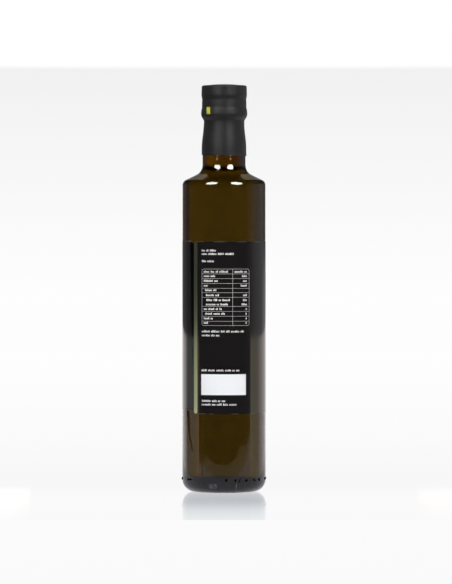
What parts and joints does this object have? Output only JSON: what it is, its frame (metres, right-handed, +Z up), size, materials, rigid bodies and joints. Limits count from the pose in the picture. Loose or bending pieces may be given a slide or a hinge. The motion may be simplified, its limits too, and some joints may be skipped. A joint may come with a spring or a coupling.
{
  "type": "olive oil bottle",
  "caption": "Tall round dark glass bottle full of olive oil, closed with a screw cap under a shrink sleeve and wrapped in two black labels.",
  "frame": {"origin": "centre of the base on the surface that the bottle stands on", "axes": "+Z up along the bottle's axis, -Y towards the viewer who reads the back label, +X to that viewer's right"},
  "size_m": [0.0614, 0.0616, 0.2932],
  "materials": {
    "dark_glass": "gloss",
    "oil": "gloss",
    "cap_plastic": "satin",
    "shrink_film": "matte",
    "label_black": "satin",
    "stripe_green": "satin",
    "panel_white": "satin"
  },
  "bodies": {
    "root": {"glass_bottle": "dark_glass", "olive_oil": "oil", "screw_cap": "cap_plastic", "shrink_sleeve": "shrink_film", "label_back": "label_black", "label_front": "label_black", "label_stripe": "stripe_green", "label_panel": "panel_white"}
  },
  "joints": []
}
